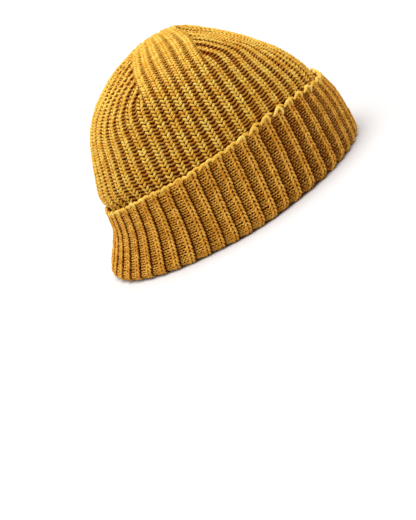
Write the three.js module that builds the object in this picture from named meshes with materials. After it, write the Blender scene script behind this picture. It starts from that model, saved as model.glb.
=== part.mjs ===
// A knitted cap: a ribbed crown drawn in under a strip of ribs that runs over the top, and the
// turned-up cuff round its lower end. Millimetres, +Z up, +X to the right in the photo, -Y is the
// front that the photo shows. The cap rests on the fold of its cuff.
import * as THREE from "three";

// Ribs round the cap, counted from the middle of the front strip towards +X.
const STRIP_RIBS = 6; // the strip that runs over the top, front and back
const SIDE_RIBS = 19; // each side, taken in one by one along the strip
const RIBS = 2 * (STRIP_RIBS + SIDE_RIBS);
const HALF_STRIP = STRIP_RIBS / 2;
const HALF_SIDE = SIDE_RIBS / 2;
const RIGHT_MIDDLE = HALF_STRIP + HALF_SIDE;
const BACK_MIDDLE = RIBS / 2;
const LEFT_MIDDLE = RIBS - RIGHT_MIDDLE;
const STEPS = 3; // columns of faces to a rib
const COLUMNS = RIBS * STEPS;
const SIDE_COLUMNS = SIDE_RIBS * STEPS;

// The knitting.
const WALL = 4; // thickness of the knitting at a rib
const CROWN_GROOVE = 1.7; // depth of the groove between two ribs of the crown
const SLANT_FROM = 9; // the row from which the ribs at the back of a side slant
const SLANT_ROWS = 2; // and over how many rows their grooves get shallow
const SLANT_LOSS = 0.8; // and by what share
const CUFF_GROOVE = 1.5; // depth of the groove between two ribs of the cuff
const CUFF_LEAN = 0.7; // how many ribs the cuff's ribs lean from the edge down to the fold
const CUFF_SHIFT = 0.5; // the other face of the knitting has its ribs over the crown's grooves
const ARC_STEPS = 40; // lengths that a quarter turn of a side is measured in
const NUDGE = 0.02; // small step along a course for finding the way the surface faces
const COURSE_NUDGE = 0.4; // the same, in courses
const CLOSE = 1e-6; // numbers this near count as the same
const AT_EDGE = 0.999; // a place this far along a side is on the edge of the strip

// The crown's outer face, course by course from the fold to the top. leftX, leftZ and rightX,
// rightZ are the middles of the sides. A strip's edges are at centreX +- half, edgeY, edgeZ, and
// its middle stands out by bulgeY and bulgeZ. tilt lifts the strip's right edge and lowers its
// left one. shape is how late a side falls towards its middle. frontIn and backIn are how many
// columns of faces, STEPS to a rib, a side has lost to the strip at its front and at its back.
const COURSE_COLUMNS = [
  "leftX", "leftZ", "rightX", "rightZ", "edgeY", "edgeZ", "half",
  "centreX", "bulgeY", "bulgeZ", "tilt", "shape", "frontIn", "backIn",
];
const FOLD = 0; // the row of the fold, where the cap rests
const FOOT = 1; // the row that the crown starts from, inside the cuff
const CUFF_EDGE = 4; // the row of the cuff's cast-on edge
const COURSES = [
  [-111.6, 0, 111.0, 0, 91.0, 0, 32.8, 2.2, 6.6, 0, 0, 2.2, 0, 0],
  [-113.0, 6, 112.0, 6, 92.0, 6, 33.5, 2.9, 6.6, 0, 0, 2.2, 0, 0],
  [-103.0, 20, 112.5, 21, 90.6, 22, 33.4, 3.5, 5.8, 0, 0.5, 2.4, 0, 0],
  [-94.0, 34, 111.8, 38, 88.2, 42, 33.3, 4.3, 4.8, 0, 1.0, 2.7, 0, 0],
  [-90.4, 52, 107.4, 54, 85.0, 65, 33.0, 5.1, 4.8, 0, 1.7, 3.0, 0, 0],
  [-93.2, 58, 106.6, 60, 84.3, 71, 32.5, 5.3, 4.7, 0, 1.0, 2.6, 0, 1],
  [-93.0, 66, 104.2, 69, 83.2, 80, 31.9, 5.7, 4.6, 0, 0, 2.4, 0, 2],
  [-88.6, 77, 99.2, 80, 81.2, 92, 30.9, 6.3, 4.3, 0.3, 0, 2.2, 0, 3],
  [-84.1, 88, 92.8, 91, 78.2, 104, 29.7, 6.9, 3.8, 0.6, 0, 2.0, 0, 4],
  [-79.7, 97, 86.4, 98.5, 74.2, 116, 28.7, 7.8, 3.1, 1.2, 0, 1.8, 0, 6],
  [-75.4, 105, 80.4, 106, 68.0, 126.6, 28.5, 8.8, 2.4, 1.8, 0, 1.6, 1, 9],
  [-71.0, 112, 74.4, 112, 61.0, 132.0, 27.9, 9.3, 2.0, 2.3, 0, 1.5, 3, 13],
  [-65.8, 118, 67.6, 118, 53.0, 136.2, 27.5, 9.8, 1.5, 2.7, 0, 1.4, 5, 17],
  [-59.4, 124, 60.0, 124, 43.5, 139.4, 27.1, 10.4, 1.1, 2.9, 0, 1.4, 8, 22],
  [-51.2, 129.7, 52.0, 129.6, 33.5, 142.0, 26.0, 11.0, 0.9, 3.1, 0, 1.4, 11, 26],
  [-41.6, 135.3, 44.0, 135.0, 23.2, 144.4, 24.4, 11.5, 0.7, 3.2, 0, 1.4, 13, 29],
  [-32.0, 140.0, 37.0, 139.8, 13.8, 146.4, 22.6, 11.8, 0.4, 3.3, 0, 1.4, 15, 32],
  [-23.0, 143.3, 34.6, 143.3, 7.0, 147.2, 21.1, 12.0, 0.2, 3.3, 0, 1.4, 17, 33],
  [-16.5, 145.4, 33.4, 145.2, 3.2, 147.6, 20.3, 12.1, 0.1, 3.3, 0, 1.4, 19, 34],
  [-12.0, 146.7, 32.8, 146.7, 1.0, 147.8, 19.9, 12.1, 0, 3.3, 0, 1.4, 21, 35],
  [-9.0, 147.8, 32.6, 147.8, 0, 147.8, 19.8, 12.1, 0, 3.3, 0, 1.4, 22, 35],
];
const TOP = COURSES.length - 1;

// Rows of faces on the crown's inside: coarser, but on the same courses.
const INSIDE_ROWS = [FOOT, 3, 5, 7, 9, 10, 11, 12, 13, 14, 15, 16, 18, TOP];

// The cuff's section, round from the flat of the fold: row of COURSES, how far out of the crown's
// face in millimetres, and how much of a groove's depth the ribs have there.
const CUFF_SECTION = [
  { row: FOLD, out: -1.7, groove: 0 },
  { row: FOLD, out: 1.5, groove: 0 },
  { row: 0.4, out: 4.2, groove: 0.6 },
  { row: 1.0, out: 5.2, groove: 1 },
  { row: 2.0, out: 5.2, groove: 1 },
  { row: 3.0, out: 5.2, groove: 1 },
  { row: 3.86, out: 5.4, groove: 1 },
  { row: CUFF_EDGE, out: 3.9, groove: 0.6 },
  { row: 3.97, out: 1.7, groove: 0 },
  { row: 3.75, out: 0.6, groove: 0 },
  { row: 3.0, out: 0.6, groove: 0 },
  { row: 2.0, out: 0.6, groove: 0 },
  { row: 0.93, out: 0.6, groove: 0 },
  { row: 0.93, out: -WALL, groove: 0 },
  { row: 0.4, out: -3.6, groove: 0 },
];

// One course, mixed from the two rows of the table that it lies between.
function courseAt(row) {
  const low = Math.min(Math.max(Math.floor(row), 0), TOP - 1);
  const mix = row - low;
  const course = {};
  COURSE_COLUMNS.forEach((name, i) => {
    course[name] = COURSES[low][i] * (1 - mix) + COURSES[low + 1][i] * mix;
  });
  return course;
}

// The places along a side, from -1 at the front to 1 at the back, that it is still open between.
function openBetween(course) {
  return {
    first: (2 * course.frontIn) / SIDE_COLUMNS - 1,
    last: 1 - (2 * course.backIn) / SIDE_COLUMNS,
  };
}

// A point of a course. zone is front, right, back or left, and along runs from -1 to 1: over the
// strip from -X to +X, and over a side from its front edge to its back edge.
function pointOn(course, zone, along) {
  if (zone === "front" || zone === "back") {
    const stand = 1 - along * along;
    const y = course.edgeY + course.bulgeY * stand;
    const x = course.centreX + course.half * along;
    const z = course.edgeZ + course.bulgeZ * stand + course.tilt * along;
    return new THREE.Vector3(x, zone === "front" ? -y : y, z);
  }
  const side = zone === "right" ? 1 : -1;
  const edgeX = course.centreX + side * course.half;
  const edgeZ = course.edgeZ + side * course.tilt;
  const middleX = side > 0 ? course.rightX : course.leftX;
  const middleZ = side > 0 ? course.rightZ : course.leftZ;
  // A full course is an ellipse that the strip is a part of. Higher up the side's own arc swells
  // out of the strip's edge.
  const { first, last } = openBetween(course);
  const reachOut = Math.abs(middleX - course.centreX);
  const cut = Math.min((((last - first) / 2) * course.half) / reachOut, 1);
  const start = Math.acos(cut);
  const turn = along * start;
  const reach = Math.max(0, (Math.cos(turn) - cut) / (1 - cut));
  const y = (course.edgeY * Math.sin(turn)) / Math.sin(start);
  const z = edgeZ + (middleZ - edgeZ) * reach ** course.shape;
  return new THREE.Vector3(edgeX + (middleX - edgeX) * reach, y, z);
}

// The place on a side that divides its length in the share asked for, from -1 to 1.
function evenly(course, zone, share) {
  const lengths = [0];
  let last = pointOn(course, zone, -1);
  for (let i = 1; i <= 2 * ARC_STEPS; i += 1) {
    const next = pointOn(course, zone, i / ARC_STEPS - 1);
    lengths.push(lengths[i - 1] + next.distanceTo(last));
    last = next;
  }
  const wanted = ((share + 1) / 2) * lengths[2 * ARC_STEPS];
  let i = 1;
  while (i < 2 * ARC_STEPS && lengths[i] < wanted) i += 1;
  const part = (wanted - lengths[i - 1]) / (lengths[i] - lengths[i - 1] || 1);
  return (i - 1 + part) / ARC_STEPS - 1;
}

// Which zone a rib is in, and where along it, before any ribs are taken in.
function zoneOf(rib) {
  const round = ((((rib + HALF_STRIP) % RIBS) + RIBS) % RIBS) - HALF_STRIP;
  if (round <= HALF_STRIP) return { zone: "front", along: round / HALF_STRIP };
  if (round < BACK_MIDDLE - HALF_STRIP)
    return { zone: "right", along: (round - RIGHT_MIDDLE) / HALF_SIDE };
  if (round <= BACK_MIDDLE + HALF_STRIP)
    return { zone: "back", along: (BACK_MIDDLE - round) / HALF_STRIP };
  return { zone: "left", along: (LEFT_MIDDLE - round) / HALF_SIDE };
}

// Where a rib is on a course once the side ribs taken in so far are left out.
function placeOf(course, rib) {
  const { zone, along } = zoneOf(rib);
  if (zone === "front" || zone === "back") return { zone, along };
  const { first, last } = openBetween(course);
  const share = Math.min(Math.max((2 * (along - first)) / (last - first) - 1, -1), 1);
  return { zone, along: evenly(course, zone, share) };
}

// The way the crown faces at a place. A strip's own direction counts at its edges.
function facing(row, zone, along) {
  let where = zone;
  let at = along;
  if ((zone === "right" || zone === "left") && Math.abs(along) > AT_EDGE) {
    where = along < 0 ? "front" : "back";
    at = zone === "right" ? 1 : -1;
  }
  const course = courseAt(row);
  const ahead = pointOn(course, where, Math.min(at + NUDGE, 1));
  const across = ahead.sub(pointOn(course, where, Math.max(at - NUDGE, -1)));
  if (where === "back" || where === "left") across.negate();
  const upper = pointOn(courseAt(Math.min(row + COURSE_NUDGE, TOP)), where, at);
  const up = upper.sub(pointOn(courseAt(Math.max(row - COURSE_NUDGE, 0)), where, at));
  return across.cross(up).normalize();
}

// A point out of the crown's face by a distance. level keeps it at its own height.
function standing(row, rib, out, level) {
  const course = courseAt(row);
  const { zone, along } = placeOf(course, rib);
  const way = facing(row, zone, along);
  if (level) way.setZ(0).normalize();
  return pointOn(course, zone, along).addScaledVector(way, out);
}

// How deep the knitting is below the tops of the ribs: 1 in a groove, 0 on a rib.
function grooveShare(rib) {
  const beside = Math.abs(rib - Math.round(rib));
  return Math.max(0, 1 - beside * STEPS);
}

// How deep a groove of the crown is. Towards the back of a side the ribs slant as they are taken
// in, and the grooves between them get shallow.
function crownGroove(row, rib) {
  const { zone, along } = zoneOf(rib);
  const onSide = zone === "right" || zone === "left";
  const high = Math.min(Math.max((row - SLANT_FROM) / SLANT_ROWS, 0), 1);
  const slant = onSide ? high * Math.min(Math.max(along + 0.5, 0), 1) : 0;
  return CROWN_GROOVE * grooveShare(rib) * (1 - SLANT_LOSS * slant);
}

// Collects points and triangles, leaving out triangles that have closed up.
class Shell {
  constructor() {
    this.positions = [];
    this.faces = [];
  }
  add(point) {
    this.positions.push(point.x, point.y, point.z);
    return this.positions.length / 3 - 1;
  }
  triangle(a, b, c) {
    if (a !== b && b !== c && c !== a) this.faces.push(a, b, c);
  }
  point(index) {
    return new THREE.Vector3().fromArray(this.positions, 3 * index);
  }
  // Two triangles that meet along the shorter diagonal.
  quad(a, b, c, d) {
    if (this.point(a).distanceTo(this.point(c)) < this.point(b).distanceTo(this.point(d))) {
      this.triangle(a, b, c);
      this.triangle(a, c, d);
    } else {
      this.triangle(a, b, d);
      this.triangle(b, c, d);
    }
  }
  geometry() {
    const made = new THREE.BufferGeometry();
    made.setAttribute("position", new THREE.Float32BufferAttribute(this.positions, 3));
    made.setIndex(this.faces);
    return made;
  }
}

// The column whose point a column uses on a row: its own, or the strip's edge once it is taken
// in, and on the top row the front strip's, where the front and the back meet.
function ownerColumn(row, column) {
  const rib = column / STEPS - HALF_STRIP;
  const { zone, along } = zoneOf(rib);
  let owner = rib;
  const { first, last } = openBetween(courseAt(row));
  const atFront = along < first + CLOSE;
  if ((zone === "right" || zone === "left") && (atFront || along > last - CLOSE)) {
    if (zone === "right") owner = atFront ? HALF_STRIP : BACK_MIDDLE - HALF_STRIP;
    else owner = atFront ? -HALF_STRIP : BACK_MIDDLE + HALF_STRIP;
  }
  if (row === TOP && owner >= BACK_MIDDLE - HALF_STRIP - CLOSE) owner = BACK_MIDDLE - owner;
  return Math.round((owner + HALF_STRIP) * STEPS);
}

// Rings of points on the crown, one for each row, as a list of indices for each.
function crownRings(shell, rows, outOf) {
  return rows.map((row) => {
    const own = new Map();
    return Array.from({ length: COLUMNS }, (_, column) => {
      const owner = ownerColumn(row, column);
      if (!own.has(owner)) {
        const rib = owner / STEPS - HALF_STRIP;
        own.set(owner, shell.add(standing(row, rib, outOf(row, rib), row < CUFF_EDGE)));
      }
      return own.get(owner);
    });
  });
}

// Faces between two rings of the same columns.
function joinRings(shell, low, high) {
  for (let i = 0; i < COLUMNS; i += 1) {
    const next = (i + 1) % COLUMNS;
    shell.quad(low[i], low[next], high[next], high[i]);
  }
}

function crownGeometry() {
  const shell = new Shell();
  const outsideRows = COURSES.map((_, row) => row).slice(FOOT);
  const outside = crownRings(shell, outsideRows, (row, rib) => -crownGroove(row, rib));
  const inside = crownRings(shell, INSIDE_ROWS, () => -WALL);
  for (let i = 1; i < outside.length; i += 1) joinRings(shell, outside[i - 1], outside[i]);
  for (let i = 1; i < inside.length; i += 1) joinRings(shell, inside[i], inside[i - 1]);
  joinRings(shell, inside[0], outside[0]);
  return shell.geometry();
}

function cuffGeometry() {
  const shell = new Shell();
  const rings = CUFF_SECTION.map(({ row, out, groove }) => {
    const lean = CUFF_LEAN * (1 - row / CUFF_EDGE);
    return Array.from({ length: COLUMNS }, (_, column) => {
      const rib = column / STEPS - HALF_STRIP;
      const depth = CUFF_GROOVE * groove * grooveShare(rib);
      return shell.add(standing(row, rib + CUFF_SHIFT - lean, out - depth, true));
    });
  });
  rings.forEach((ring, i) => joinRings(shell, ring, rings[(i + 1) % rings.length]));
  return shell.geometry();
}

// The two pieces, moved together so that the cap's own box stands centred on the origin.
const pieces = [
  { name: "crown", geometry: crownGeometry(), colour: 0xaa762a },
  { name: "cuff", geometry: cuffGeometry(), colour: 0xa87127 },
];
const box = new THREE.Box3();
pieces.forEach(({ geometry }) => {
  geometry.computeBoundingBox();
  box.union(geometry.boundingBox);
});
const middle = box.getCenter(new THREE.Vector3());

const cap = new THREE.Group();
cap.name = "knitted_cap";
pieces.forEach(({ name, geometry, colour }) => {
  geometry.translate(-middle.x, -middle.y, -box.min.z);
  geometry.computeVertexNormals();
  const yarn = new THREE.MeshStandardMaterial({ color: colour, roughness: 0.95, metalness: 0 });
  yarn.name = "yarn_" + name;
  const mesh = new THREE.Mesh(geometry, yarn);
  mesh.name = name;
  cap.add(mesh);
});

export default cap;
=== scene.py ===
# %% [markdown]
# # A knitted cap, stitch by stitch
#
# The cap is one tube of chunky ribbed knitting. Its lower end is turned up outside as a cuff, and
# its top is drawn in under a strip of ribs that runs over the crown from front to back.
# The solid model gives the form. What it leaves out is the knitting itself, so this script
# knits it: one stitch is modelled, arrays make a flat piece of knitting from it, and the flat
# piece is laid over the form.

import math

import bpy
import numpy as np
from mathutils import Matrix, Vector


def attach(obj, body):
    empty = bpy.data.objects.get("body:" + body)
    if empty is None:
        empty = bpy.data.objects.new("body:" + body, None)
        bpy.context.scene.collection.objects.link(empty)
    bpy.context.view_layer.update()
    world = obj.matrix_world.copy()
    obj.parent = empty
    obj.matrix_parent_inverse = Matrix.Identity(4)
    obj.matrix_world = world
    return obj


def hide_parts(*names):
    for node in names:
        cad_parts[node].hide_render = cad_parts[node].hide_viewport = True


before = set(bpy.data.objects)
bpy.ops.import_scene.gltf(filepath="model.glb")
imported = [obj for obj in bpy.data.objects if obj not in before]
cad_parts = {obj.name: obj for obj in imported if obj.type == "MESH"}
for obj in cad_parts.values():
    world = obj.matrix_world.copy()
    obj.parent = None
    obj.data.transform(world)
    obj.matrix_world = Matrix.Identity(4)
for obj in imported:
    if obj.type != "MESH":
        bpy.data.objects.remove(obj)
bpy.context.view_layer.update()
MM = 0.001
SEED = 7

# %% [markdown]
# ## The form
#
# The table is the solid model's own: one row for each course of the knitting, from the fold to
# the top, in millimetres. A row says how far out and how high the course lies at the middle of
# each side and at the edge of the strip, how wide the strip is, where its middle lies, how it
# bulges and tilts, and how the sides fall away from it. The last two columns count what is
# already taken in at the front and at the back.
# The form could be measured on the solid's faces, but the table also tells which rib is which.
# Between two rows the value is taken along a smooth curve, because knitting has no corners.

# %% The courses of the cap
STRIP_RIBS = 6
SIDE_RIBS = 19
RIBS = 2 * (STRIP_RIBS + SIDE_RIBS)
HALF_STRIP = STRIP_RIBS / 2
HALF_SIDE = SIDE_RIBS / 2
RIGHT_MIDDLE = HALF_STRIP + HALF_SIDE
BACK_MIDDLE = RIBS / 2
LEFT_MIDDLE = RIBS - RIGHT_MIDDLE
COLUMNS_TO_A_RIB = 3
SIDE_COLUMNS = SIDE_RIBS * COLUMNS_TO_A_RIB
# sets the widest course evenly about the middle of the frame
SHIFT_X = 0.237
COURSE_COLUMNS = (
    "leftX", "leftZ", "rightX", "rightZ", "edgeY", "edgeZ",
    "half", "centreX", "bulgeY", "bulgeZ", "tilt", "shape",
    "frontIn", "backIn",
)
COURSES = np.array([
    [-111.6, 0, 111.0, 0, 91.0, 0, 32.8, 2.2, 6.6, 0, 0, 2.2, 0, 0],
    [-113.0, 6, 112.0, 6, 92.0, 6, 33.5, 2.9, 6.6, 0, 0, 2.2, 0, 0],
    [-103.0, 20, 112.5, 21, 90.6, 22, 33.4, 3.5, 5.8, 0, 0.5, 2.4, 0, 0],
    [-94.0, 34, 111.8, 38, 88.2, 42, 33.3, 4.3, 4.8, 0, 1.0, 2.7, 0, 0],
    [-90.4, 52, 107.4, 54, 85.0, 65, 33.0, 5.1, 4.8, 0, 1.7, 3.0, 0, 0],
    [-93.2, 58, 106.6, 60, 84.3, 71, 32.5, 5.3, 4.7, 0, 1.0, 2.6, 0, 1],
    [-93.0, 66, 104.2, 69, 83.2, 80, 31.9, 5.7, 4.6, 0, 0, 2.4, 0, 2],
    [-88.6, 77, 99.2, 80, 81.2, 92, 30.9, 6.3, 4.3, 0.3, 0, 2.2, 0, 3],
    [-84.1, 88, 92.8, 91, 78.2, 104, 29.7, 6.9, 3.8, 0.6, 0, 2.0, 0, 4],
    [-79.7, 97, 86.4, 98.5, 74.2, 116, 28.7, 7.8, 3.1, 1.2, 0, 1.8, 0, 6],
    [-75.4, 105, 80.4, 106, 68.0, 126.6, 28.5, 8.8, 2.4, 1.8, 0, 1.6, 1, 9],
    [-71.0, 112, 74.4, 112, 61.0, 132.0, 27.9, 9.3, 2.0, 2.3, 0, 1.5, 3, 13],
    [-65.8, 118, 67.6, 118, 53.0, 136.2, 27.5, 9.8, 1.5, 2.7, 0, 1.4, 5, 17],
    [-59.4, 124, 60.0, 124, 43.5, 139.4, 27.1, 10.4, 1.1, 2.9, 0, 1.4, 8, 22],
    [-51.2, 129.7, 52.0, 129.6, 33.5, 142.0, 26.0, 11.0, 0.9, 3.1, 0, 1.4, 11, 26],
    [-41.6, 135.3, 44.0, 135.0, 23.2, 144.4, 24.4, 11.5, 0.7, 3.2, 0, 1.4, 13, 29],
    [-32.0, 140.0, 37.0, 139.8, 13.8, 146.4, 22.6, 11.8, 0.4, 3.3, 0, 1.4, 15, 32],
    [-23.0, 143.3, 34.6, 143.3, 7.0, 147.2, 21.1, 12.0, 0.2, 3.3, 0, 1.4, 17, 33],
    [-16.5, 145.4, 33.4, 145.2, 3.2, 147.6, 20.3, 12.1, 0.1, 3.3, 0, 1.4, 19, 34],
    [-12.0, 146.7, 32.8, 146.7, 1.0, 147.8, 19.9, 12.1, 0, 3.3, 0, 1.4, 21, 35],
    [-9.0, 147.8, 32.6, 147.8, 0, 147.8, 19.8, 12.1, 0, 3.3, 0, 1.4, 22, 35],
])
TOP = len(COURSES) - 1
# the course that the cuff's edge reaches up to
CUFF_EDGE = 4.0
FRONT, RIGHT, BACK, LEFT = range(4)


def smooth_between(a, b, c, d, f):
    """The value at a share f of the way from b to c, on the smooth curve through all four."""
    return 0.5 * (
        2 * b + (c - a) * f + (2 * a - 5 * b + 4 * c - d) * f**2
        + (3 * b - a - 3 * c + d) * f**3
    )


def course_at(row):
    """One course between two rows of the table, along a smooth curve."""
    low = int(min(max(math.floor(row), 0), TOP - 1))
    before, after = COURSES[max(low - 1, 0)], COURSES[min(low + 2, TOP)]
    mixed = smooth_between(before, COURSES[low], COURSES[low + 1], after, row - low)
    course = dict(zip(COURSE_COLUMNS, mixed))
    course["first"] = 2 * max(course["frontIn"], 0) / SIDE_COLUMNS - 1
    course["last"] = 1 - 2 * max(course["backIn"], 0) / SIDE_COLUMNS
    return course


print("courses", len(COURSES), "ribs", RIBS)

# %% [markdown]
# ## Places on a course
#
# A course runs through four zones: the strip at the front, the right side, the strip at the back
# and the left side. In each zone a place is a number from -1 to 1. The strip is a shallow arch.
# A side is an arc that starts and ends at the edges of the strip, and only its open middle part
# carries ribs, so it gets shorter as ribs are taken in.

# %% Points on a course
ARC = np.linspace(-1, 1, 121)
TINY = 1e-9
LARGEST_CUT = 0.999


def unit(vectors):
    """Vectors of length one."""
    return vectors / np.maximum(np.linalg.norm(vectors, axis=-1, keepdims=True), TINY)


def length_along(points):
    """How far along a chain of points each of them lies."""
    return np.concatenate([[0], np.cumsum(np.linalg.norm(np.diff(points, axis=0), axis=1))])


def points_on(course, zone, along):
    """Points of a course in millimetres, for arrays of zones and places along them."""
    stand = 1 - along**2
    x = course["centreX"] + course["half"] * along
    y = course["edgeY"] + course["bulgeY"] * stand
    y = np.where(zone == FRONT, -y, y)
    z = course["edgeZ"] + course["bulgeZ"] * stand + course["tilt"] * along
    open_share = max(course["last"] - course["first"], 0) / 2
    for side, which, name in ((1, RIGHT, "right"), (-1, LEFT, "left")):
        middle_x, middle_z = course[name + "X"], course[name + "Z"]
        edge_x = course["centreX"] + side * course["half"]
        edge_z = course["edgeZ"] + side * course["tilt"]
        cut = min(open_share * course["half"] / abs(middle_x - course["centreX"]), LARGEST_CUT)
        start = math.acos(cut)
        turn = along * start
        reach = np.maximum(0, (np.cos(turn) - cut) / (1 - cut))
        x = np.where(zone == which, edge_x + (middle_x - edge_x) * reach, x)
        y = np.where(zone == which, course["edgeY"] * np.sin(turn) / math.sin(start), y)
        z = np.where(zone == which, edge_z + (middle_z - edge_z) * reach ** course["shape"], z)
    return np.stack([x + SHIFT_X, y, z], -1)


right_fold = points_on(course_at(0), np.full(len(ARC), RIGHT), ARC)
print("the right side's length at the fold", round(float(length_along(right_fold)[-1])), "mm")

# %% Where a rib lies
SMALLEST_ROOM = 1e-4


def zones_of(ribs):
    """The zone that each rib lies in, and where along it."""
    turned = (ribs + HALF_STRIP) % RIBS - HALF_STRIP
    back_start, back_end = BACK_MIDDLE - HALF_STRIP, BACK_MIDDLE + HALF_STRIP
    zone = np.select(
        [turned <= HALF_STRIP, turned < back_start, turned <= back_end],
        [FRONT, RIGHT, BACK], LEFT,
    )
    places = [
        turned / HALF_STRIP,
        (turned - RIGHT_MIDDLE) / HALF_SIDE,
        (BACK_MIDDLE - turned) / HALF_STRIP,
    ]
    on_left = (LEFT_MIDDLE - turned) / HALF_SIDE
    return zone, np.select([zone == FRONT, zone == RIGHT, zone == BACK], places, on_left)


def places_of(course, ribs):
    """Zones and places of ribs on a course, with the side ribs spread evenly over what is open."""
    zone, along = zones_of(ribs)
    room = max(course["last"] - course["first"], SMALLEST_ROOM)
    for which in (RIGHT, LEFT):
        length = length_along(points_on(course, np.full(len(ARC), which), ARC))
        share = np.clip(2 * (along - course["first"]) / room - 1, -1, 1)
        even = np.interp((share + 1) / 2, length / max(length[-1], TINY), ARC)
        along = np.where(zone == which, even, along)
    return zone, along


print("zones of ribs 0, 12, 25 and 37", zones_of(np.array([0.0, 12.0, 25.0, 37.0]))[0])

# %% [markdown]
# ## Which way the cap faces
#
# A stitch has to stand square on the cap. The way out of the cap is at right angles to two
# short steps, one along the course and one up. Blender's own normals belong to the solid's flat
# facets, so they would turn in jumps from one rib's face to the next.

# %% The way out of the cap
# past this place on a side, the edge of the strip says which way the cap faces
STRIP_EDGE = 0.97


def facing(row, zone, along):
    """The outward direction of the form at places on a course."""
    side = (zone == RIGHT) | (zone == LEFT)
    at_edge = side & (np.abs(along) > STRIP_EDGE)
    strip_along = np.where(zone == RIGHT, 1.0, -1.0)
    strip_zone = np.where(along < 0, FRONT, BACK)
    zone = np.where(at_edge, strip_zone, zone)
    along = np.where(at_edge, strip_along, along)
    step, row_step = 0.03, 0.4
    course = course_at(row)
    across = points_on(course, zone, np.minimum(along + step, 1))
    across = across - points_on(course, zone, np.maximum(along - step, -1))
    across[(zone == BACK) | (zone == LEFT)] *= -1
    up = points_on(course_at(min(row + row_step, TOP)), zone, along)
    up = up - points_on(course_at(max(row - row_step, 0)), zone, along)
    return unit(np.cross(across, up))


way_out = facing(CUFF_EDGE, np.array([FRONT]), np.array([0.0]))[0]
print("at the front, above the cuff, the cap faces", [round(float(x), 2) for x in way_out])

# %% [markdown]
# ## Two flat maps
#
# Knitting is flat before it is put on a form. Each map is a net of places over the cap: across
# it run the ribs, up it run the rows of stitches. A stitch could be turned and placed with an
# object's own location and rotation, but then it would stay stiff. Read from a net, each of its
# points finds its own place, so it bends with the cap.
# The crown's net starts behind the cuff and ends at the top.

# %% The crown's net
# crossings of a net to a rib and to a row
NET_ACROSS = 4
NET_UP = 2
# keeps a reading just inside the last crossing
LAST_CROSSING = 1.001
NET_RIBS = np.arange(-HALF_STRIP - 1, RIBS - HALF_STRIP + 1 + 1e-6, 1 / NET_ACROSS)
ROW_HEIGHT = 3.05
# the course that the crown's stitches start from, hidden behind the cuff
FIRST_COURSE = 3.55
FINE_STEPS = 600


class Net:
    """Places, outward and upward directions over a part of the cap, by rib and by row."""

    def __init__(self, places, ways):
        self.places = places
        self.ways = ways
        self.up = unit(np.gradient(places, axis=0))
        self.across = unit(np.cross(self.up, ways))
        width = np.linalg.norm(np.gradient(places, axis=1), axis=2) * NET_ACROSS
        self.pitch = width[:, :, None]
        self.rows = (places.shape[0] - 1) / NET_UP

    def read(self, table, rib, row):
        """A value of the net between its crossings."""
        x = np.clip((rib + HALF_STRIP + 1) * NET_ACROSS, 0, table.shape[1] - LAST_CROSSING)
        y = np.clip(row * NET_UP, 0, table.shape[0] - LAST_CROSSING)
        i, j = x.astype(int), y.astype(int)
        fx, fy = (x - i)[:, None], (y - j)[:, None]
        low = table[j, i] * (1 - fx) + table[j, i + 1] * fx
        high = table[j + 1, i] * (1 - fx) + table[j + 1, i + 1] * fx
        return low * (1 - fy) + high * fy


# how far up the front strip each course lies gives the rows their even height
fine = np.linspace(FIRST_COURSE, TOP, FINE_STEPS)
strip = np.array([points_on(course_at(t), np.array([FRONT]), np.array([0.0]))[0] for t in fine])
climb = length_along(strip)
CROWN_ROWS = int(round(climb[-1] / ROW_HEIGHT))
net_rows = np.linspace(0, climb[-1], CROWN_ROWS * NET_UP + 1)
CROWN_COURSES = np.interp(net_rows, climb, fine)

crown_places, crown_ways = [], []
for t in CROWN_COURSES:
    course = course_at(t)
    zone, along = places_of(course, NET_RIBS)
    crown_places.append(points_on(course, zone, along))
    crown_ways.append(facing(t, zone, along))
crown_net = Net(np.array(crown_places), np.array(crown_ways))
print("crown rows", CROWN_ROWS)

# %% [markdown]
# ## The cuff's way round the fold
#
# The cuff is a folded wall. Its section is drawn once, as places up the courses and outside the
# crown's face: it starts inside the cap, goes round the fold, climbs outside and turns in at the
# cast-on edge. The cuff's ribs stand over the grooves of the crown, because they are the other
# face of the same knitting, and they lean a little on their way up.

# %% The cuff's net
CUFF_SHIFT = 0.5
CUFF_LEAN = 0.7
# course, and how far out of the crown's face in millimetres
CUFF_SECTION = [
    (0.95, -3.9), (0.45, -3.4), (0.1, -2.2), (0.0, -0.4), (0.02, 1.6), (0.2, 3.4), (0.5, 4.5),
    (1.0, 5.2), (1.5, 5.2), (2.0, 5.2), (2.5, 5.2), (3.0, 5.2), (3.5, 5.3), (3.8, 5.3), (3.92, 4.9),
    (3.98, 4.1), (3.99, 2.6), (3.96, 1.2),
]


def places_outside(row, out, ribs):
    """Points outside the crown's face, level with it."""
    course = course_at(row)
    zone, along = places_of(course, ribs)
    way = facing(row, zone, along)
    way[:, 2] = 0
    return points_on(course, zone, along) + unit(way) * out


section = np.array(CUFF_SECTION)
drawn = np.array([places_outside(t, out, np.array([0.0]))[0] for t, out in section])
lengths = length_along(drawn)
CUFF_ROWS = int(round(lengths[-1] / ROW_HEIGHT))
steps = np.linspace(0, lengths[-1], CUFF_ROWS * NET_UP + 1)
cuff_courses = np.interp(steps, lengths, section[:, 0])
cuff_outs = np.interp(steps, lengths, section[:, 1])
cuff_rings = []
for t, out in zip(cuff_courses, cuff_outs):
    lean = CUFF_LEAN * (1 - t / CUFF_EDGE)
    cuff_rings.append(places_outside(t, out, NET_RIBS + CUFF_SHIFT - lean))
cuff_rings = np.array(cuff_rings)
cuff_ways = np.cross(np.gradient(cuff_rings, axis=1), np.gradient(cuff_rings, axis=0))
cuff_net = Net(cuff_rings, unit(cuff_ways))
print("cuff rows", CUFF_ROWS)

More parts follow.
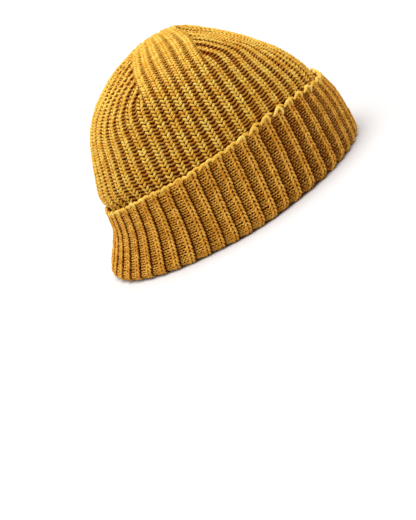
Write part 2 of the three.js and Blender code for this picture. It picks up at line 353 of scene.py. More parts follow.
# %% [markdown]
# ## One stitch
#
# A knit stitch shows as a V of two thick legs. Between two ribs the yarn crosses as a low
# sagging bar. A curve with a round bevel could be the yarn, but a mesh tube can be repeated by
# an array and bent point by point. So each stitch starts as a cylinder cut into rings, and each
# ring is then moved to its place on the yarn's path. Paths are in rib widths across, rows up,
# and millimetres out of the cap.

# %% Tools for making yarn
SIDES = 6
PATH_SAMPLES = 12
RIB_WIDTH = 10.6
STITCH_SCALE = np.array([RIB_WIDTH, ROW_HEIGHT, 1.0])
OUTWARD = np.array([0, 0, 1.0])


def clear_selection():
    """Leaves edit mode and deselects everything."""
    if bpy.context.object and bpy.context.object.mode != "OBJECT":
        bpy.ops.object.mode_set(mode="OBJECT")
    bpy.ops.object.select_all(action="DESELECT")


def make_tube(name, rings):
    """A capped cylinder cut into rings of six points each."""
    clear_selection()
    bpy.ops.mesh.primitive_cylinder_add(vertices=SIDES, radius=0.5, depth=1.0, end_fill_type="NGON")
    tube = bpy.context.object
    mesh = tube.data
    tube.name = name
    mesh.name = name
    heights = [point.co.z for point in mesh.vertices]
    ends = [edge.vertices for edge in mesh.edges]
    upright = [abs(heights[low] - heights[high]) > 0.5 for low, high in ends]
    bpy.ops.object.mode_set(mode="EDIT")
    bpy.ops.mesh.select_mode(type="EDGE")
    bpy.ops.mesh.select_all(action="DESELECT")
    bpy.ops.object.mode_set(mode="OBJECT")
    mesh.edges.foreach_set("select", upright)
    bpy.ops.object.mode_set(mode="EDIT")
    bpy.ops.mesh.subdivide(number_cuts=rings - 2)
    bpy.ops.object.mode_set(mode="OBJECT")
    bpy.ops.object.shade_smooth()
    return tube


def along_path(path, radii, rings):
    """Even ring centres, radii and directions along a smooth path."""
    path = np.array(path, float)
    last = len(path) - 1
    samples, sizes = [], []
    for i in range(last):
        before, after = path[max(i - 1, 0)], path[min(i + 2, last)]
        for f in np.linspace(0, 1, PATH_SAMPLES, endpoint=i == last - 1):
            samples.append(smooth_between(before, path[i], path[i + 1], after, f))
            sizes.append(radii[i] * (1 - f) + radii[i + 1] * f)
    samples = np.array(samples)
    gone = length_along(samples * STITCH_SCALE)
    wanted = np.linspace(0, gone[-1], rings)
    centres = np.stack([np.interp(wanted, gone, samples[:, k]) for k in range(3)], -1)
    sizes = np.interp(wanted, gone, sizes)
    return centres, sizes, unit(np.gradient(centres * STITCH_SCALE, axis=0))


class Stitch:
    """A tube bent to a path, with each point's ring centre and its offset from it kept."""

    def __init__(self, name, path, radii, rings):
        self.tube = make_tube(name, rings)
        mesh = self.tube.data
        self.count = len(mesh.vertices)
        co = np.empty(self.count * 3)
        mesh.vertices.foreach_get("co", co)
        co = co.reshape(-1, 3)
        ring = np.rint((co[:, 2] + 0.5) * (rings - 1)).astype(int)
        angle = np.arctan2(co[:, 1], co[:, 0])
        centres, sizes, ways = along_path(path, radii, rings)
        beside = unit(np.cross(ways, OUTWARD))
        over = np.cross(beside, ways)
        round_ring = beside[ring] * np.cos(angle)[:, None] + over[ring] * np.sin(angle)[:, None]
        self.centre = centres[ring]
        self.offset = round_ring * sizes[ring][:, None]
        flat = self.centre + self.offset / STITCH_SCALE
        mesh.vertices.foreach_set("co", flat.ravel())
        mesh.update()


print("a rib is", RIB_WIDTH, "mm wide and a row", ROW_HEIGHT, "mm high")

# %% [markdown]
# ## From stitch to swatch
#
# Two array modifiers repeat a stitch across the ribs and up the rows, as a knitter does. That
# flat swatch is one mesh. Where ribs are taken in at the top, their stitches are deleted from it.

# %% Swatches


def pick(piece):
    """Makes a piece the active one, and the only one selected."""
    clear_selection()
    piece.select_set(True)
    bpy.context.view_layer.objects.active = piece


def make_swatch(stitch, columns, rows):
    """Repeats a stitch over columns and rows and applies both arrays."""
    piece = stitch.tube
    pick(piece)
    for count, step in ((columns, (1.0, 0.0, 0.0)), (rows, (0.0, 1.0, 0.0))):
        array = piece.modifiers.new("repeat", "ARRAY")
        array.count = count
        array.use_relative_offset = False
        array.use_constant_offset = True
        array.constant_offset_displace = step
        bpy.ops.object.modifier_apply(modifier=array.name)
    return piece


def swatch_places(columns, first_row, rows):
    """The rib and the row of each stitch, in the order that the arrays make them."""
    row, rib = np.divmod(np.arange(columns * rows), columns)
    return rib - HALF_STRIP, row + first_row


def keep_stitches(piece, keep, count):
    """Deletes the stitches of a swatch that aren't kept."""
    if keep.all():
        return
    pick(piece)
    bpy.ops.object.mode_set(mode="EDIT")
    bpy.ops.mesh.select_mode(type="VERT")
    bpy.ops.mesh.select_all(action="DESELECT")
    bpy.ops.object.mode_set(mode="OBJECT")
    piece.data.vertices.foreach_set("select", np.repeat(~keep, count))
    bpy.ops.object.mode_set(mode="EDIT")
    bpy.ops.mesh.delete(type="VERT")
    bpy.ops.object.mode_set(mode="OBJECT")


print("a swatch has", RIBS, "columns, one to a rib")

# %% [markdown]
# ## How wide a stitch is
#
# Yarn keeps its width. Where the ribs lie close together, a V takes more of its rib, and the
# bars between the Vs get shorter. On the left side, where the photo shows the ribs close
# together, the Vs are fuller still. High on the right side they are slimmer, with more bar
# between them.

# %% The width of a V
# the least and the most that a V is widened, and the most on the sides and on the strip
NARROWEST = 0.82
WIDEST = 1.8
WIDEST_ON_SIDES = 1.0
WIDEST_ON_STRIP = 1.75
# the ribs over which the left side's looks give way to the right side's
SIDE_FADE = 5
FULLER_LEFT = 0.22
# on the right, Vs are slimmer from this row up
SLIMMER_HIGH = 0.22
HIGH_ROW = 16
HIGH_FADE = 12
# on the left, Vs are stretched where a rib is wider than this
STRETCHED = 0.45
WIDE_PITCH = 12
WIDE_FADE = 3


def left_share(ribs):
    """1 over the cap's left side, where the ribs lie close together, and 0 over its right side."""
    turned = (ribs + RIBS / 2) % RIBS - RIBS / 2
    from_front = np.clip((1 - turned) / SIDE_FADE, 0, 1)
    return from_front * np.clip((turned + RIBS / 2) / SIDE_FADE, 0, 1)


def widening(net, ribs, rows):
    """How much wider than usual a V is for its rib."""
    pitch = net.read(net.pitch, np.asarray(ribs, float), np.asarray(rows, float) + 0.5)[:, 0]
    on_strip = np.abs((ribs + RIBS / 4) % (RIBS / 2) - RIBS / 4) < HALF_STRIP
    most = np.where(on_strip, WIDEST_ON_STRIP, WIDEST_ON_SIDES)
    width = np.clip(RIB_WIDTH / np.maximum(pitch, 1), NARROWEST, most)
    if net is crown_net:
        left = left_share(ribs)
        high = np.clip((rows - HIGH_ROW) / HIGH_FADE, 0, 1)
        wide = np.clip((pitch - WIDE_PITCH) / WIDE_FADE, 0, 1)
        slimmer = SLIMMER_HIGH * high * (1 - left) * ~on_strip
        stretched = STRETCHED * wide * left * ~on_strip
        width = np.minimum(width * (1 + FULLER_LEFT * left - slimmer + stretched), WIDEST)
    return width


print("share of the left side's looks at ribs -20, 0 and 20", left_share(np.array([-20, 0, 20])))

# %% [markdown]
# ## From swatch to cap
#
# The ring centres of a swatch follow the net, and the yarn keeps its thickness, because each
# point keeps its offset from its ring's centre. A lattice or a surface deform modifier could
# bend the swatch too, but both would squeeze the yarn wherever the cap narrows. A slow
# unevenness and a small shake of each stitch make the knitting look made by hand.

# %% Laying a swatch on the cap
noise = np.random.default_rng(SEED)
# half the width of a usual V, as a share of its rib, and how far a bar's end tucks under it
V_SHARE = 0.25
BAR_TUCK = 0.04
RIB_WANDER = 0.03
ROW_WANDER = 0.16
# how far down the painted shade on the yarn is at its darkest, in millimetres
FULL_SHADE_DEPTH = 3.0


def wander(x, y, wave, seed):
    """A slow, even unevenness over the cap, between -1 and 1."""
    turn = 2 * math.pi / RIBS
    n = max(1, round(RIBS / wave))
    one = np.sin(turn * n * x + y * 0.31 + seed)
    other = np.sin(turn * (n + 3) * x - y * 0.23 + 2 * seed)
    return (one + other) / 2


def mark(piece, name, values):
    """Stores a value for each point of a piece, for its material to read."""
    attribute = piece.data.attributes.new(name, "FLOAT", "POINT")
    attribute.data.foreach_set("value", values.astype(np.float32))


def lay(piece, stitch, net, ribs, rows, relief=None, sink=None, flip=False, jitter=0.12, bar=False):
    """Lays kept stitches on a net. ribs and rows are each stitch's own place on it."""
    count = stitch.count
    total = len(ribs)
    centre = np.tile(stitch.centre, (total, 1))
    offset = np.tile(stitch.offset, (total, 1))
    if flip:
        centre[:, 1] = 1 - centre[:, 1]
        offset[:, 1] *= -1
    width = widening(net, ribs, rows)
    if bar:
        width = (0.5 - V_SHARE * width + BAR_TUCK) / (0.5 - V_SHARE + BAR_TUCK)
    rib = np.repeat(ribs, count) + centre[:, 0] * np.repeat(width, count)
    row = np.repeat(rows, count) + centre[:, 1]
    rib = rib + RIB_WANDER * wander(rib, row, 9, 1.0)
    row = row + ROW_WANDER * wander(rib, row, 14, 2.0)
    shake = np.repeat(noise.normal(0, jitter, (total, 3)), count, axis=0)
    height = centre[:, 2].copy()
    if relief is not None:
        height = height * np.repeat(relief, count)
    if sink is not None:
        height = height - np.repeat(sink, count)
    place = net.read(net.places, rib, row)
    way, up, across = (net.read(t, rib, row) for t in (net.ways, net.up, net.across))
    place = place + way * (height + shake[:, 2])[:, None]
    offset = offset + shake * np.array([1, 1, 0])
    place += across * offset[:, :1] + up * offset[:, 1:2] + way * offset[:, 2:3]
    piece.data.vertices.foreach_set("co", (place * MM).ravel())
    if flip:
        piece.data.flip_normals()
    # painted shade: the deeper a point lies under the face, and the more it faces inward, the darker
    # its yarn is painted
    mark(piece, "depth", np.clip(-(height + 0.5 * offset[:, 2]) / FULL_SHADE_DEPTH, 0, 1))
    mark(piece, "tone", np.repeat(noise.uniform(0, 1, total), count))
    piece.data.update()
    triangles = sum(len(face.vertices) - 2 for face in piece.data.polygons)
    print(piece.name, "stitches", total, "triangles", triangles)


print("random draws start from", SEED)

# %% [markdown]
# ## The crown's stitches
#
# The crown needs only two stitches, the V on a rib and the bar in a groove. They are knitted in
# three pieces, so that none of them grows too large. Toward the top, the strip's stitches lie
# flatter, the right side's stand out more, and the last ones beside the strip sink under it.

# %% The shapes of the V and the bar
# a V, from the outer end of one leg down to the middle, mirrored for the other leg
V_HALF = [(0.235, 0.86, -2.5), (0.205, 0.68, -1.45), (0.150, 0.44, -0.95), (0.085, 0.20, -1.15),
          (0.035, -0.02, -1.9)]
V_PATH = [(-x, y, z) for x, y, z in V_HALF] + [(0.0, -0.10, -2.6)] + V_HALF[::-1]
V_RADII = [0.8, 0.98, 1.06, 1.02, 0.88, 0.72, 0.88, 1.02, 1.06, 0.98, 0.8]
V_RINGS = 11
# a V stands in the middle of its rib
V_MIDDLE = 0.5
# how deep the top of a V lies under the crown's face, in millimetres
V_TOP = 0.95
BAR_PATH = [(-0.28, 0.80, -2.3), (-0.17, 0.52, -2.5), (0.0, 0.36, -2.8), (0.17, 0.52, -2.5),
            (0.28, 0.80, -2.3)]
BAR_RADII = [0.82, 0.86, 0.84, 0.86, 0.82]
BAR_RINGS = 7
print("a V has", V_RINGS, "rings and a bar", BAR_RINGS)

# %% Knitting the crown
# the strip's relief at these courses
FLATTER_COURSES = [9, 12, 16, TOP]
V_FLATTER = [1.0, 0.9, 0.8, 0.75]
BAR_FLATTER = [1.0, 0.85, 0.6, 0.5]
# what the right side's relief gains between these courses
DEEPER_COURSES = [8, 11]
V_DEEPER = 0.8
BAR_DEEPER = 0.3
# how far a stitch sinks beside the strip, over how many ribs, and from which course up
SINK = 0.6
SINK_ROOM = 0.8
SINK_COURSE = 8
SINK_FADE = 2
ALMOST_NONE = 0.01
ON_STRIP_ROOM = 99.0


def side_room(ribs, rows):
    """How many ribs lie between a stitch and the nearer edge of the strip, over a side."""
    course = np.interp(rows * NET_UP, np.arange(len(CROWN_COURSES)), CROWN_COURSES)
    columns_in = [np.interp(course, np.arange(TOP + 1), COURSES[:, k]) for k in (-2, -1)]
    front_in, back_in = (columns / COLUMNS_TO_A_RIB for columns in columns_in)
    from_front = np.minimum(ribs, RIBS - ribs) - HALF_STRIP
    from_back = SIDE_RIBS - from_front
    on_strip = (from_front < ALMOST_NONE) | (from_back < ALMOST_NONE)
    room = np.minimum(from_front - front_in, from_back - back_in)
    return np.where(on_strip, ON_STRIP_ROOM, room), course


def knit_crown(name, path, radii, rings, first_row, rows, least_room, bar=False):
    """Knits rows of the crown without the stitches that are taken in, and lays them on it."""
    stitch = Stitch(name, path, radii, rings)
    piece = make_swatch(stitch, RIBS, rows)
    ribs, at_row = swatch_places(RIBS, first_row, rows)
    ribs = ribs + (0.0 if bar else V_MIDDLE)
    room, course = side_room(ribs, at_row + 0.5)
    keep = room > least_room
    keep_stitches(piece, keep, stitch.count)
    ribs, at_row, room, course = ribs[keep], at_row[keep], room[keep], course[keep]
    flatter = np.interp(course, FLATTER_COURSES, BAR_FLATTER if bar else V_FLATTER)
    deeper = np.interp(course, DEEPER_COURSES, [0, BAR_DEEPER if bar else V_DEEPER])
    relief = np.where(room > HALF_SIDE, flatter, 1 + deeper * (1 - left_share(ribs)))
    sink = SINK * np.clip(1 - room / SINK_ROOM, 0, 1)
    sink = sink * np.clip((course - SINK_COURSE) / SINK_FADE, 0, 1)
    sink = sink - V_TOP * np.maximum(relief - 1, 0)
    lay(piece, stitch, crown_net, ribs, at_row, relief=relief, sink=sink, bar=bar)
    return piece


HALF_ROWS = CROWN_ROWS // 2
HIGH_ROWS = CROWN_ROWS - HALF_ROWS
crown_pieces = [
    knit_crown("crown_stitches_low", V_PATH, V_RADII, V_RINGS, 0, HALF_ROWS, -0.15),
    knit_crown("crown_stitches_high", V_PATH, V_RADII, V_RINGS, HALF_ROWS, HIGH_ROWS, -0.15),
    knit_crown("crown_bars", BAR_PATH, BAR_RADII, BAR_RINGS, 0, CROWN_ROWS, -0.1, bar=True),
]

# %% [markdown]
# ## The crest
#
# At the crest the strip's front half meets its back half. A strand across each rib closes the
# line between them, as a knitter's last seam does.

# %% The strand along the crest
CREST = [(-0.55, 1.0, -2.4), (-0.30, 1.0, -1.3), (0.0, 1.0, -1.1), (0.30, 1.0, -1.3),
         (0.55, 1.0, -2.4)]
CREST_RADII = [1.0, 1.2, 1.3, 1.2, 1.0]
CREST_RINGS = 9
crest_stitch = Stitch("crest_strand", CREST, CREST_RADII, CREST_RINGS)
crest_strand = make_swatch(crest_stitch, STRIP_RIBS, 1)
crest_ribs = np.arange(STRIP_RIBS) + V_MIDDLE - HALF_STRIP
lay(crest_strand, crest_stitch, crown_net, crest_ribs, np.full(STRIP_RIBS, CROWN_ROWS - 1.0))
crown_pieces.append(crest_strand)

# %% [markdown]
# ## The cuff's stitches
#
# The cuff is the same knitting seen from its other face and upside down, so its stitches are
# laid flipped. Its grooves are packed with finer bars, in two kinds that take turns, one humped
# where the other dips. On the right side the grooves are deeper.

# %% The shapes of the cuff's V and bars
CUFF_V_HALF = [(0.185, 1.00, -1.9), (0.175, 0.76, -1.15), (0.145, 0.50, -0.95),
               (0.105, 0.25, -1.05), (0.060, 0.02, -1.6)]
CUFF_V_PATH = [(-x, y, z) for x, y, z in CUFF_V_HALF] + [(0.0, -0.10, -2.4)] + CUFF_V_HALF[::-1]
CUFF_V_RADII = [0.8, 0.92, 0.95, 0.92, 0.85, 0.7, 0.85, 0.92, 0.95, 0.92, 0.8]
# each bar climbs from the shaded side of one rib to the crest of the next, in small humps
BUMP_ONE = [(-0.27, 0.0, -4.0), (-0.185, 0.3, -2.7), (-0.10, 0.0, -2.5), (0.0, 0.3, -1.5),
            (0.10, 0.0, -2.1), (0.20, 0.3, -1.1), (0.31, 0.0, -1.8)]
BUMP_TWO = [(-0.27, 0.3, -3.8), (-0.185, 0.0, -3.0), (-0.10, 0.3, -1.8), (0.0, 0.0, -2.2),
            (0.10, 0.3, -1.3), (0.20, 0.0, -1.8), (0.31, 0.3, -1.3)]
BUMP_RADII = [0.68] * 7
BUMP_RINGS = 9
print("a cuff bar has", BUMP_RINGS, "rings")

# %% Knitting the cuff
# bars of both kinds to a row of Vs
BUMPS_TO_A_ROW = 1.57
BUMP_STEP = 2 / BUMPS_TO_A_ROW
# the rows under the cast-on edge that carry no bars
BARE_ROWS = 1.4
BUMP_ROWS = int((CUFF_ROWS - BARE_ROWS) / BUMP_STEP)
# how much deeper the grooves of the right side are, and over how many ribs that fades
STEEPER = 0.52
STEEPER_FADE = 6


def knit_cuff(name, path, radii, rings, rows, row_step, first_row, bar=True):
    """Knits rows of the cuff and lays them on it upside down."""
    stitch = Stitch(name, path, radii, rings)
    piece = make_swatch(stitch, RIBS, rows)
    ribs, at_row = swatch_places(RIBS, 0, rows)
    near_front = np.clip(ribs / STEEPER_FADE, 0, 1)
    near_back = np.clip((RIBS / 2 - ribs) / STEEPER_FADE, 0, 1)
    relief = 1 + STEEPER * near_front * near_back if bar else None
    ribs = ribs + (0.0 if bar else V_MIDDLE)
    rows_at = first_row + at_row * row_step
    lay(piece, stitch, cuff_net, ribs, rows_at, relief=relief, flip=True, bar=bar)
    return piece


cuff_pieces = [
    knit_cuff("cuff_stitches", CUFF_V_PATH, CUFF_V_RADII, V_RINGS, CUFF_ROWS - 1, 1.0, 0, bar=False),
    knit_cuff("cuff_bars_one", BUMP_ONE, BUMP_RADII, BUMP_RINGS, BUMP_ROWS, BUMP_STEP, 0),
    knit_cuff("cuff_bars_two", BUMP_TWO, BUMP_RADII, BUMP_RINGS, BUMP_ROWS, BUMP_STEP, BUMP_STEP / 2),
]

# %% [markdown]
# ## The cast-on edge
#
# A cap is started with a row of loops that lie over each other like a cord. They make the
# bright ridge along the top of the cuff, whose yarn is painted lighter than the cuff's as a
# highlight. To each rib belong a hook and a strand, both drawn as one path and repeated round
# the edge. The ridge stands up at the front right, and elsewhere it lies lower in the knitting.

# %% The cast-on edge
HOOK = [(0.16, -1.45, -1.6), (0.20, -0.90, -0.4), (0.17, -0.35, 0.4), (0.03, 0.02, 0.8),
        (-0.13, 0.02, 0.6), (-0.29, -0.14, 0.0), (-0.44, -0.30, -1.0), (-0.60, -0.40, -2.4)]
HOOK_RADII = [0.9, 1.1, 1.3, 1.4, 1.35, 1.2, 1.05, 0.9]
STRAND = [(-0.17, -1.2, -1.9), (-0.14, -0.50, -1.0), (-0.02, 0.20, -0.9), (0.16, 0.55, -0.4),
          (0.36, 0.66, 0.1), (0.56, 0.50, -0.5), (0.70, 0.25, -1.9)]
STRAND_RADII = [0.9, 1.05, 1.15, 1.3, 1.35, 1.2, 0.9]
EDGE_RINGS = 15
EDGE_JITTER = 0.45
# how far the loops lie lower outside the raised ribs, in millimetres
EDGE_SINK = 0.8
RAISED_FROM = -2
RAISED_TO = 13
RAISED_FADE = 4

edge_ribs = np.arange(RIBS) - HALF_STRIP + V_MIDDLE
edge_rows = np.full(RIBS, cuff_net.rows - 1.0)
raised = np.clip((edge_ribs - RAISED_FROM) / RAISED_FADE, 0, 1)
raised = raised * np.clip((RAISED_TO - edge_ribs) / RAISED_FADE, 0, 1)
edge_sink = EDGE_SINK * (1 - raised)
edge_pieces = []
for name, path, radii in (
    ("cast_on_hooks", HOOK, HOOK_RADII),
    ("cast_on_strand", STRAND, STRAND_RADII),
):
    loop = Stitch(name, path, radii, EDGE_RINGS)
    edge_piece = make_swatch(loop, RIBS, 1)
    lay(edge_piece, loop, cuff_net, edge_ribs, edge_rows, sink=edge_sink, jitter=EDGE_JITTER)
    edge_pieces.append(edge_piece)
cuff_pieces += edge_pieces

# %% [markdown]
# ## The ground under the stitches
#
# Behind the yarn on show runs the rest of the yarn. The solid itself could stand for it, but its
# facets would show between the stitches. So a closed skin is drawn from rings of points: it
# fills the gaps with shade, partly real and partly painted into its darker colour, and its inner
# face is what is seen when the cap is turned over.

# %% The ground of the crown and the cuff
# depths under the crown's face and the height of the ground's own ribs, in millimetres
GROUND = 3.8
INSIDE = 4.4
GROUND_WAVE = 0.3
POINTS_TO_A_RIB = 6
GROUND_RIBS = np.arange(-HALF_STRIP, RIBS - HALF_STRIP - 1e-6, 1 / POINTS_TO_A_RIB)
CUFF_GROUND_SECTION = [
    (3.88, 2.6), (3.9, 1.2), (3.5, 0.6), (2, 0.6), (0.93, 0.6), (0.93, -2.9), (0.4, -2.6),
    (0.22, -1.0), (0.22, 0.8), (0.45, 1.2), (1.0, 1.4), (2.0, 1.4), (3.0, 1.4),
]
# in metres
SAME_POINT = 0.00002
NO_LENGTH = 0.00001


def ground_ring(row, out, wave=0.0):
    """A ring of points outside the crown's face, waved with its ribs. Under the cuff it is level."""
    course = course_at(row)
    zone, along = places_of(course, GROUND_RIBS)
    way = facing(row, zone, along)
    if row < CUFF_EDGE:
        way[:, 2] = 0
        way = unit(way)
    depth = out + wave * np.cos(2 * np.pi * GROUND_RIBS)
    return points_on(course, zone, along) + way * depth[:, None]


def make_ground(name, rings):
    """A closed skin from rings of points, joined in order. The last ring meets the first."""
    rings = np.array(rings)
    levels, columns = rings.shape[:2]
    corners = rings.reshape(-1, 3) * MM
    faces = []
    for j in range(levels):
        k = (j + 1) % levels
        for i in range(columns):
            n = (i + 1) % columns
            faces.append((j * columns + i, j * columns + n, k * columns + n, k * columns + i))
    mesh = bpy.data.meshes.new(name)
    mesh.from_pydata(corners.tolist(), [], faces)
    ground = bpy.data.objects.new(name, mesh)
    bpy.context.collection.objects.link(ground)
    pick(ground)
    bpy.ops.object.mode_set(mode="EDIT")
    bpy.ops.mesh.select_all(action="SELECT")
    bpy.ops.mesh.remove_doubles(threshold=SAME_POINT)
    bpy.ops.mesh.dissolve_degenerate(threshold=NO_LENGTH)
    bpy.ops.mesh.select_all(action="SELECT")
    bpy.ops.mesh.normals_make_consistent(inside=False)
    bpy.ops.object.mode_set(mode="OBJECT")
    bpy.ops.object.shade_smooth()
    return ground


ground_courses = np.concatenate([np.linspace(1.0, 10, 28), np.linspace(10.35, TOP, 24)])
outer = [ground_ring(t, -GROUND, -GROUND_WAVE) for t in ground_courses]
inner = [ground_ring(t, -INSIDE - GROUND_WAVE, GROUND_WAVE) for t in ground_courses]
crown_ground = make_ground("crown_ground", outer + inner[::-1])
folded = [ground_ring(t, out) for t, out in CUFF_GROUND_SECTION]
cuff_ground = make_ground("cuff_ground", folded[::-1])
print("ground", len(crown_ground.data.polygons), len(cuff_ground.data.polygons))

# %% [markdown]
# ## Wool
#
# One node group makes the yarn: plies twisted round each other, a little unevenness of dye,
# and painted shade: a darker, redder tint where a stitch lies deep and light reaches it only off
# other wool.
# Pictures of wool could be wrapped round the strands, but nodes follow each strand by
# themselves. The twist reads the tube's own UV map, and the depth and the dye of each stitch
# come from the values that were marked on its points.

# %% Small helpers for nodes


def calculate(tree, operation, *terms):
    """A math node's result. Each term is a number or another node's output."""
    node = tree.nodes.new("ShaderNodeMath")
    node.operation = operation
    for socket, term in zip(node.inputs, terms):
        if isinstance(term, float):
            socket.default_value = term
        else:
            tree.links.new(term, socket)
    return node.outputs[0]


def ramp(tree, value, low):
    """0 for values up to the low one, rising to 1 at 1."""
    node = tree.nodes.new("ShaderNodeMapRange")
    node.inputs["From Min"].default_value = low
    node.inputs["From Max"].default_value = 1.0
    tree.links.new(value, node.inputs["Value"])
    return node.outputs["Result"]


def mix_colours(tree, share, first, second):
    """The first colour at a share of 0 and the second at 1."""
    node = tree.nodes.new("ShaderNodeMix")
    node.data_type = "RGBA"
    tree.links.new(share, node.inputs["Factor"])
    tree.links.new(first, node.inputs["A"])
    tree.links.new(second, node.inputs["B"])
    return node.outputs["Result"]


def mottle(tree, place, scale, detail):
    """Noise that stays fixed to the piece."""
    node = tree.nodes.new("ShaderNodeTexNoise")
    node.inputs["Scale"].default_value = scale
    node.inputs["Detail"].default_value = detail
    tree.links.new(place, node.inputs["Vector"])
    return node.outputs["Fac"]


def marked(tree, name):
    """A value that was marked on the points."""
    node = tree.nodes.new("ShaderNodeAttribute")
    node.attribute_name = name
    return node.outputs["Fac"]


print("the crest strand's mesh carries", [item.name for item in crest_strand.data.attributes])

# %% The yarn's node group
YARN_INPUTS = (
    ("Light", "NodeSocketColor"), ("Dark", "NodeSocketColor"), ("Painted shade", "NodeSocketColor"),
    ("Plies", "NodeSocketFloat"), ("Relief", "NodeSocketFloat"),
)
YARN_OUTPUTS = (("Colour", "NodeSocketColor"), ("Normal", "NodeSocketVector"))
PLY_SLANT = 6.0
PLY_HEIGHT = 0.0004
FUZZ_SCALE = 900
FUZZ_DETAIL = 3
FUZZ_SHARE = 0.6
DYE_SCALE = 160
DYE_DETAIL = 2
# what a stitch's own tone adds to the dye, and where the mix leaves the darker dye
TONE_SHARE = 0.45
DARK_DYE_UP_TO = 0.45
# where the depth begins to paint shade on the yarn
SHADE_FROM_DEPTH = 0.35


def make_yarn_group():
    """Twisted plies, uneven dye and painted shade in the depth, as a colour and a normal."""
    group = bpy.data.node_groups.new("Twisted yarn", "ShaderNodeTree")
    for name, kind in YARN_INPUTS:
        group.interface.new_socket(name, in_out="INPUT", socket_type=kind)
    for name, kind in YARN_OUTPUTS:
        group.interface.new_socket(name, in_out="OUTPUT", socket_type=kind)
    given = group.nodes.new("NodeGroupInput").outputs
    result = group.nodes.new("NodeGroupOutput").inputs
    place = group.nodes.new("ShaderNodeTexCoord").outputs["Object"]

    uv = group.nodes.new("ShaderNodeUVMap")
    split = group.nodes.new("ShaderNodeSeparateXYZ")
    group.links.new(uv.outputs["UV"], split.inputs[0])
    slant = calculate(group, "MULTIPLY_ADD", split.outputs["Y"], PLY_SLANT, split.outputs["X"])
    wave = calculate(group, "SINE", calculate(group, "MULTIPLY", slant, given["Plies"]))
    fuzz = mottle(group, place, FUZZ_SCALE, FUZZ_DETAIL)
    bump = group.nodes.new("ShaderNodeBump")
    bump.inputs["Distance"].default_value = PLY_HEIGHT
    height = calculate(group, "MULTIPLY_ADD", fuzz, FUZZ_SHARE, wave)
    group.links.new(height, bump.inputs["Height"])
    group.links.new(given["Relief"], bump.inputs["Strength"])
    group.links.new(bump.outputs["Normal"], result["Normal"])

    dye = mottle(group, place, DYE_SCALE, DYE_DETAIL)
    tone = calculate(group, "MULTIPLY_ADD", marked(group, "tone"), TONE_SHARE, dye)
    dyed = mix_colours(group, ramp(group, tone, DARK_DYE_UP_TO), given["Dark"], given["Light"])
    # painted shade: where the depth is large, the dye gives way to the darker, redder third colour
    painted_shade = ramp(group, marked(group, "depth"), SHADE_FROM_DEPTH)
    group.links.new(mix_colours(group, painted_shade, dyed, given["Painted shade"]), result["Colour"])
    return group


YARN = make_yarn_group()
print("yarn group", len(YARN.nodes), "nodes")

# %% [markdown]
# ## The materials
#
# The crown, the cuff and the cast-on edge are of one wool, and their stitches lie differently.
# Each has its own three colours with light and shade painted in: the cuff's are darker as painted
# shade, the cast-on edge's lighter as a painted highlight. Wool has hardly any gloss. What it has
# is a soft sheen of its own colour. The ground is plain and painted darker, as shade between the
# stitches.

# %% Yarn materials
PLIES = 3


def linear(red, green, blue):
    """A colour as the eye names it, 0 to 255, as a shader needs it."""
    def one(v):
        v /= 255
        return v / 12.92 if v <= 0.04045 else ((v + 0.055) / 1.055) ** 2.4
    return (one(red), one(green), one(blue), 1.0)


def make_yarn(name, light, dark, painted_shade):
    """Wool in a lighter and a darker dye, and a third colour painted in its depth as shade."""
    material = bpy.data.materials.new(name)
    material.use_nodes = True
    nodes, links = material.node_tree.nodes, material.node_tree.links
    shader = nodes["Principled BSDF"]
    shader.inputs["Roughness"].default_value = 0.62
    shader.inputs["Specular IOR Level"].default_value = 0.12
    shader.inputs["Sheen Weight"].default_value = 0.25
    shader.inputs["Sheen Roughness"].default_value = 0.5
    shader.inputs["Sheen Tint"].default_value = light
    yarn = nodes.new("ShaderNodeGroup")
    yarn.node_tree = YARN
    yarn.inputs["Light"].default_value = light
    yarn.inputs["Dark"].default_value = dark
    yarn.inputs["Painted shade"].default_value = painted_shade
    yarn.inputs["Plies"].default_value = 2 * math.pi * PLIES
    yarn.inputs["Relief"].default_value = 0.5
    links.new(yarn.outputs["Colour"], shader.inputs["Base Color"])
    links.new(yarn.outputs["Normal"], shader.inputs["Normal"])
    return material


def make_matt(name, colour):
    """A plain colour with next to no gloss."""
    material = bpy.data.materials.new(name)
    material.use_nodes = True
    shader = material.node_tree.nodes["Principled BSDF"]
    shader.inputs["Base Color"].default_value = colour
    shader.inputs["Roughness"].default_value = 0.95
    shader.inputs["Specular IOR Level"].default_value = 0.1
    return material


# each wool's third colour is painted shade for where its stitches lie deep
crown_yarn = make_yarn("crown_yarn", linear(247, 208, 95), linear(227, 165, 50), linear(160, 75, 5))
# the cuff's wool is painted darker than the crown's, as shade
cuff_yarn = make_yarn("cuff_yarn", linear(240, 181, 74), linear(206, 137, 34), linear(112, 44, 2))
# the cast-on edge's wool is painted lighter than the cuff's, as a highlight
edge_yarn_painted_highlight = make_yarn("edge_yarn_painted_highlight", linear(252, 212, 102), linear(229, 171, 53), linear(158, 78, 6))
# the ground's dark brown is painted shade between the stitches
ground_yarn_painted_shade = make_matt("ground_yarn_painted_shade", linear(122, 55, 3))

for piece in crown_pieces:
    piece.data.materials.clear()
    piece.data.materials.append(crown_yarn)
    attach(piece, "root")
for piece in cuff_pieces:
    piece.data.materials.clear()
    piece.data.materials.append(edge_yarn_painted_highlight if piece in edge_pieces else cuff_yarn)
    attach(piece, "root")
for piece, slot in ((crown_ground, "crown_yarn"), (cuff_ground, "cuff_yarn")):
    piece.data.materials.append(ground_yarn_painted_shade)
    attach(piece, "root")
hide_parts("crown")
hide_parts("cuff")
print("pieces", len(crown_pieces) + len(cuff_pieces) + 2)

# %% [markdown]
# ## The picture
#
# The photo was taken from a little above the cap, with the camera rolled by about a third of a
# right angle. The room is a plain pale studio. Two very wide suns stand for soft lights, a
# strong one from above and a weak one from the left, so the shadow on the floor stays faint.

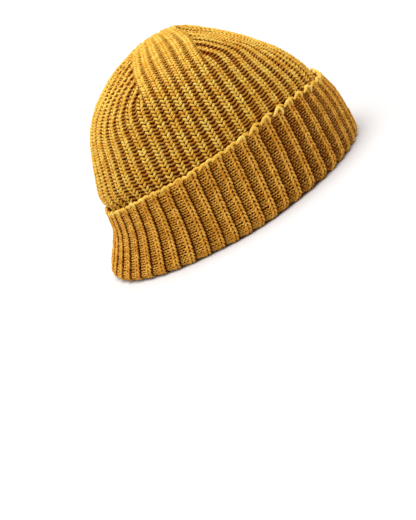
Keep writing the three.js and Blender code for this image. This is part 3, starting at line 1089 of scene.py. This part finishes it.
# %% Floor and room
FLOOR_SIZE = 80.0
FLOOR_WHITE = (0.65, 0.65, 0.66, 1.0)
ROOM_WHITE = (0.97, 0.98, 1.0, 1.0)
ROOM_STRENGTH = 0.42

clear_selection()
bpy.ops.mesh.primitive_plane_add(size=FLOOR_SIZE, location=(0, 0, 0))
floor = bpy.context.object
floor.name = "floor"
floor.data.materials.append(make_matt("floor_white", FLOOR_WHITE))

world = bpy.context.scene.world or bpy.data.worlds.new("studio")
bpy.context.scene.world = world
world.use_nodes = True
background = world.node_tree.nodes["Background"]
background.inputs["Color"].default_value = ROOM_WHITE
background.inputs["Strength"].default_value = ROOM_STRENGTH
print("floor", FLOOR_SIZE, "m wide, room strength", ROOM_STRENGTH)

# %% Camera and lights
# metres and radians, as they were found from the photo's outline
DISTANCE, HEIGHT = 1.152, 0.336
PITCH, YAW, ROLL = 0.3084, -0.04017, 0.57523
# a portrait picture's lens is measured along its height
FOCAL_PIXELS = 1452
PHOTO_HEIGHT = 520
SENSOR = 36
LENS = FOCAL_PIXELS * SENSOR / PHOTO_HEIGHT
SUN_COLOUR = (1.0, 0.985, 0.96)

level = math.cos(PITCH)
ahead = Vector((math.sin(YAW) * level, math.cos(YAW) * level, -math.sin(PITCH)))
beside = Vector((math.cos(YAW), -math.sin(YAW), 0))
above = beside.cross(ahead)
cam_x = beside * math.cos(ROLL) - above * math.sin(ROLL)
cam_y = beside * math.sin(ROLL) + above * math.cos(ROLL)
bpy.ops.object.camera_add()
camera = bpy.context.object
camera.name = "camera"
camera.data.lens = LENS
camera.data.sensor_width = SENSOR
camera.matrix_world = Matrix((
    (cam_x.x, cam_y.x, -ahead.x, 0.0),
    (cam_x.y, cam_y.y, -ahead.y, -DISTANCE),
    (cam_x.z, cam_y.z, -ahead.z, HEIGHT),
    (0, 0, 0, 1),
))
bpy.context.scene.camera = camera


def soft_sun(name, energy, width, travel):
    """A sun as wide as a large soft light, in degrees, shining along a direction."""
    bpy.ops.object.light_add(type="SUN", location=(0, 0, 1.5))
    sun = bpy.context.object
    sun.name = name
    sun.data.energy = energy
    sun.data.angle = math.radians(width)
    sun.data.color = SUN_COLOUR
    sun.rotation_euler = Vector(travel).to_track_quat("-Z", "Y").to_euler()


soft_sun("key", energy=3.54, width=60, travel=(-0.05, -0.02, -1.0))
soft_sun("fill", energy=1.03, width=90, travel=(0.95, 0.10, -0.6))
bpy.context.scene.view_settings.view_transform = "Standard"
print("lens", round(LENS, 1), "mm")
